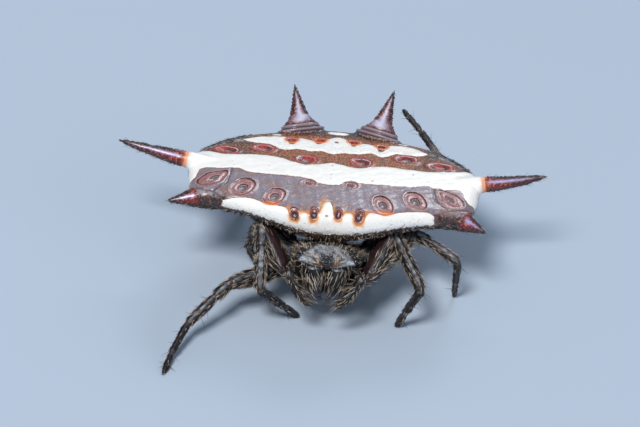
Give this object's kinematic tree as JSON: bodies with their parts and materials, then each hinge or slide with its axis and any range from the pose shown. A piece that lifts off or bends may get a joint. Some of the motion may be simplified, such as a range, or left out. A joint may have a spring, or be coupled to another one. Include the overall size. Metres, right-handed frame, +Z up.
{
  "type": "spiny orb weaver spider model",
  "caption": "Still, life-size spiny orb weaver: wide hard banded abdomen with long side and rear spines, small dark head, short bent hairy legs, standing on its feet.",
  "frame": {"origin": "on the floor plane under the middle of the whole model's box, at the level of the flats under its feet", "axes": "+Z up; the spider faces -Y, so its head is towards -Y and its rear spines towards +Y; +X is the spider's left side, and X lies along the two longest spines"},
  "size_m": [0.0154, 0.0133, 0.0045],
  "materials": {
    "shell": "hard cuticle, semi-gloss, white bands between lilac-grey and brown speckled ones",
    "spine": "dark red granular cuticle with a soft gloss, black at the tips",
    "head_shell": "near-black cuticle, low gloss, under short pale hair",
    "mouthparts": "near-black cuticle, semi-gloss",
    "limb": "near-black brown cuticle, semi-gloss, finely ridged",
    "soft_skin": "dull brown wrinkled skin",
    "eye": "black, highly polished",
    "hair": "fine cream to grey-brown hair, dull"
  },
  "bodies": {
    "root": {"abdomen": "shell", "carapace": "head_shell", "chelicera_left": "mouthparts", "chelicera_right": "mouthparts", "eye_front_lateral_left": "eye", "eye_front_lateral_right": "eye", "eye_front_median_left": "eye", "eye_front_median_right": "eye", "eye_rear_lateral_left": "eye", "eye_rear_lateral_right": "eye", "eye_rear_median_left": "eye", "eye_rear_median_right": "eye", "fang_left": "mouthparts", "fang_right": "mouthparts", "leg_1_left_coxa": "limb", "leg_1_left_femur": "limb", "leg_1_left_tarsus": "limb", "leg_1_left_tibia": "limb", "leg_1_right_coxa": "limb", "leg_1_right_femur": "limb", "leg_1_right_tarsus": "limb", "leg_1_right_tibia": "limb", "leg_2_left_coxa": "limb", "leg_2_left_femur": "limb", "leg_2_left_tarsus": "limb", "leg_2_left_tibia": "limb", "leg_2_right_coxa": "limb", "leg_2_right_femur": "limb", "leg_2_right_tarsus": "limb", "leg_2_right_tibia": "limb", "leg_3_left_coxa": "limb", "leg_3_left_femur": "limb", "leg_3_left_tarsus": "limb", "leg_3_left_tibia": "limb", "leg_3_right_coxa": "limb", "leg_3_right_femur": "limb", "leg_3_right_tarsus": "limb", "leg_3_right_tibia": "limb", "leg_4_left_coxa": "limb", "leg_4_left_femur": "limb", "leg_4_left_tarsus": "limb", "leg_4_left_tibia": "limb", "leg_4_right_coxa": "limb", "leg_4_right_femur": "limb", "leg_4_right_tarsus": "limb", "leg_4_right_tibia": "limb", "palp_left_femur": "limb", "palp_left_tarsus": "limb", "palp_left_tibia": "limb", "palp_right_femur": "limb", "palp_right_tarsus": "limb", "palp_right_tibia": "limb", "pedicel": "soft_skin", "spinnerets": "soft_skin", "sternum": "head_shell"}
  },
  "joints": []
}
